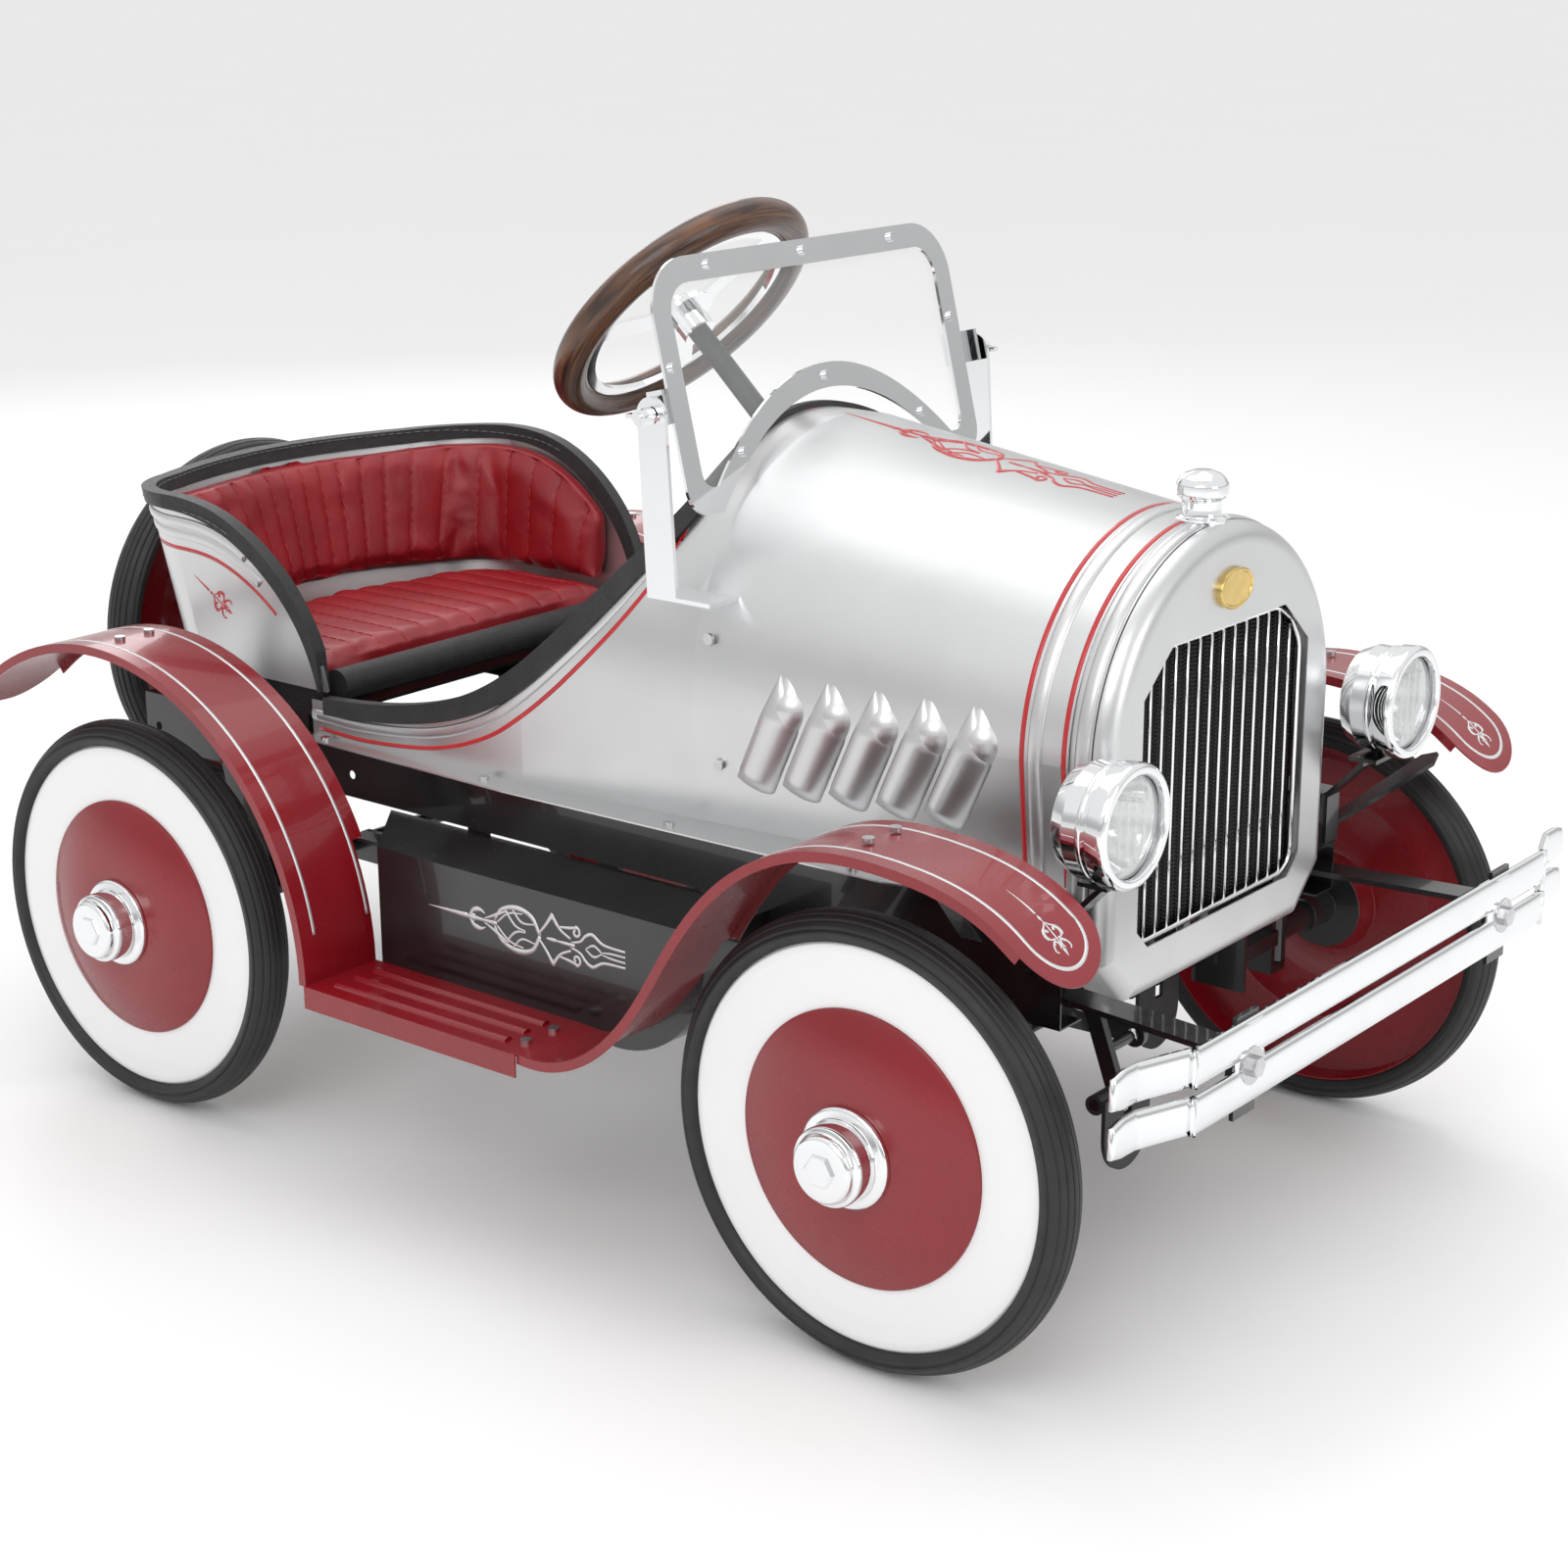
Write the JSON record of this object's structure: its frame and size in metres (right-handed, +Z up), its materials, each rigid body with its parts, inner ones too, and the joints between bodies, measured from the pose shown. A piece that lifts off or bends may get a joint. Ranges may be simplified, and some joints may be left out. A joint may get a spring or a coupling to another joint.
{
  "type": "pedal car",
  "caption": "Vintage style ride-on pedal car with an open cockpit, hooded body, upright grille, fenders, disc wheels, tilting windshield and crank pedal drive.",
  "frame": {"origin": "on the ground at the middle of the car's footprint", "axes": "+X forward, +Y to the driver's left, +Z up"},
  "size_m": [1.154, 0.685, 0.7057],
  "materials": {
    "silver_paint": "satin metallic silver paint",
    "red_paint": "gloss dark red paint",
    "black_paint": "gloss black paint",
    "white_paint": "gloss red disc with a white outer ring",
    "chrome": "bright chrome plate",
    "zinc_steel": "zinc plated steel",
    "black_rubber": "black rubber with circumferential ribs",
    "red_vinyl": "padded red vinyl with sewn channels",
    "black_vinyl": "grained black vinyl edging",
    "dark_wood": "dark stained varnished wood",
    "clear_pane": "clear acrylic sheet",
    "lamp_glass": "clear ribbed lens",
    "brass": "polished brass"
  },
  "bodies": {
    "chassis": {"axle_brackets": "black_paint", "body_piping": "black_vinyl", "body_shell": "silver_paint", "bumper": "chrome", "bumper_arms": "black_paint", "chassis_frame": "black_paint", "column_bearings": "black_paint", "emblem": "brass", "fasteners": "zinc_steel", "fender_braces": "black_paint", "front_fenders": "red_paint", "grille": "chrome", "headlight_brackets": "black_paint", "headlight_housings": "chrome", "headlight_lenses": "lamp_glass", "pedal_pivot_rod": "black_paint", "radiator_cap": "chrome", "radiator_shell": "silver_paint", "rear_fenders": "red_paint", "rear_hangers": "black_paint", "running_boards": "red_paint", "seat_back_pad": "red_vinyl", "seat_cushion": "red_vinyl", "seat_pan": "black_paint", "seat_piping": "black_vinyl", "seat_tub": "silver_paint", "side_boxes": "black_paint", "spare_bracket": "black_paint", "spare_disc": "white_paint", "spare_tyre": "black_rubber", "windshield_posts": "chrome"},
    "steering": {"steering_rim": "dark_wood", "steering_spokes": "chrome", "steering_column": "black_paint"},
    "spindle_left": {"spindle_left": "black_paint"},
    "spindle_right": {"spindle_right": "black_paint"},
    "tie_rod": {"tie_rod": "black_paint"},
    "rear_axle": {"crank_axle": "black_paint", "tyre_rear_right": "black_rubber", "wheel_disc_rear_right": "white_paint", "hubcap_rear_right": "chrome"},
    "push_rod_left": {"push_rod_left": "black_paint"},
    "push_rod_right": {"push_rod_right": "black_paint"},
    "pedal_arm_left": {"pedal_arm_left": "black_paint"},
    "pedal_arm_right": {"pedal_arm_right": "black_paint"},
    "pedal_pad_left": {"pedal_pad_left": "black_paint"},
    "pedal_pad_right": {"pedal_pad_right": "black_paint"},
    "windshield": {"windshield_frame": "chrome", "windshield_pane": "clear_pane"},
    "wing_nut_left": {"wing_nut_left": "chrome"},
    "wing_nut_right": {"wing_nut_right": "chrome"},
    "wheel_front_left": {"tyre_front_left": "black_rubber", "wheel_disc_front_left": "white_paint", "hubcap_front_left": "chrome"},
    "wheel_front_right": {"tyre_front_right": "black_rubber", "wheel_disc_front_right": "white_paint", "hubcap_front_right": "chrome"},
    "wheel_rear_left": {"tyre_rear_left": "black_rubber", "wheel_disc_rear_left": "white_paint", "hubcap_rear_left": "chrome"}
  },
  "joints": [
    {"name": "steering_turn", "type": "hinge", "parent": "chassis", "child": "steering", "pos_m": [-0.024, 0, 0.612], "axis": [-0.7314, 0, 0.682], "range_deg": [-30, 30]},
    {"name": "spindle_left_turn", "type": "hinge", "parent": "chassis", "child": "spindle_left", "pos_m": [0.364, 0.222, 0.155], "axis": [0, 0, 1], "range_deg": [-20, 20]},
    {"name": "spindle_right_turn", "type": "hinge", "parent": "chassis", "child": "spindle_right", "pos_m": [0.364, -0.222, 0.155], "axis": [0, 0, 1], "range_deg": [-20, 20]},
    {"name": "tie_rod_swing", "type": "hinge", "parent": "spindle_left", "child": "tie_rod", "pos_m": [0.254, 0.222, 0.1], "axis": [0, 0, 1], "range_deg": [-20, 20]},
    {"name": "wheel_front_left_spin", "type": "hinge", "parent": "spindle_left", "child": "wheel_front_left", "pos_m": [0.364, 0.286, 0.155], "axis": [0, 1, 0], "continuous": true},
    {"name": "wheel_front_right_spin", "type": "hinge", "parent": "spindle_right", "child": "wheel_front_right", "pos_m": [0.364, -0.286, 0.155], "axis": [0, 1, 0], "continuous": true},
    {"name": "crank_turn", "type": "hinge", "parent": "chassis", "child": "rear_axle", "pos_m": [-0.349, 0, 0.155], "axis": [0, 1, 0], "continuous": true},
    {"name": "wheel_rear_left_spin", "type": "hinge", "parent": "rear_axle", "child": "wheel_rear_left", "pos_m": [-0.349, 0.286, 0.155], "axis": [0, 1, 0], "continuous": true},
    {"name": "push_rod_right_pin", "type": "hinge", "parent": "rear_axle", "child": "push_rod_right", "pos_m": [-0.311, -0.0605, 0.155], "axis": [0, 1, 0], "continuous": true},
    {"name": "pedal_right_swing", "type": "hinge", "parent": "chassis", "child": "pedal_arm_right", "pos_m": [0.379, -0.098, 0.275], "axis": [0, 1, 0], "range_deg": [0, 40.4]},
    {"name": "pad_right_tilt", "type": "hinge", "parent": "pedal_arm_right", "child": "pedal_pad_right", "pos_m": [0.42736, -0.098, 0.14362], "axis": [0, 1, 0], "range_deg": [-50, 50]},
    {"name": "push_rod_left_pin", "type": "hinge", "parent": "rear_axle", "child": "push_rod_left", "pos_m": [-0.387, 0.0605, 0.155], "axis": [0, 1, 0], "continuous": true},
    {"name": "pedal_left_swing", "type": "hinge", "parent": "chassis", "child": "pedal_arm_left", "pos_m": [0.379, 0.098, 0.275], "axis": [0, 1, 0], "range_deg": [-40.4, 0]},
    {"name": "pad_left_tilt", "type": "hinge", "parent": "pedal_arm_left", "child": "pedal_pad_left", "pos_m": [0.33064, 0.098, 0.14362], "axis": [0, 1, 0], "range_deg": [-50, 50]},
    {"name": "windshield_tilt", "type": "hinge", "parent": "chassis", "child": "windshield", "pos_m": [0.1015, 0, 0.58], "axis": [0, 1, 0], "range_deg": [-12, 75]},
    {"name": "wing_nut_left_turn", "type": "hinge", "parent": "windshield", "child": "wing_nut_left", "pos_m": [0.1015, 0.196, 0.58], "axis": [0, 1, 0], "continuous": true},
    {"name": "wing_nut_right_turn", "type": "hinge", "parent": "windshield", "child": "wing_nut_right", "pos_m": [0.1015, -0.196, 0.58], "axis": [0, 1, 0], "continuous": true}
  ],
  "couplings": [
    {"joint": "spindle_left_turn", "follows": "steering_turn", "ratio": 0.666},
    {"joint": "spindle_right_turn", "follows": "steering_turn", "ratio": 0.666},
    {"joint": "tie_rod_swing", "follows": "steering_turn", "ratio": -0.666},
    {"joint": "push_rod_left_pin", "follows": "crank_turn", "ratio": -1},
    {"joint": "push_rod_right_pin", "follows": "crank_turn", "ratio": -1},
    {"joint": "pedal_left_swing", "follows": "pedal_right_swing", "ratio": -1}
  ]
}
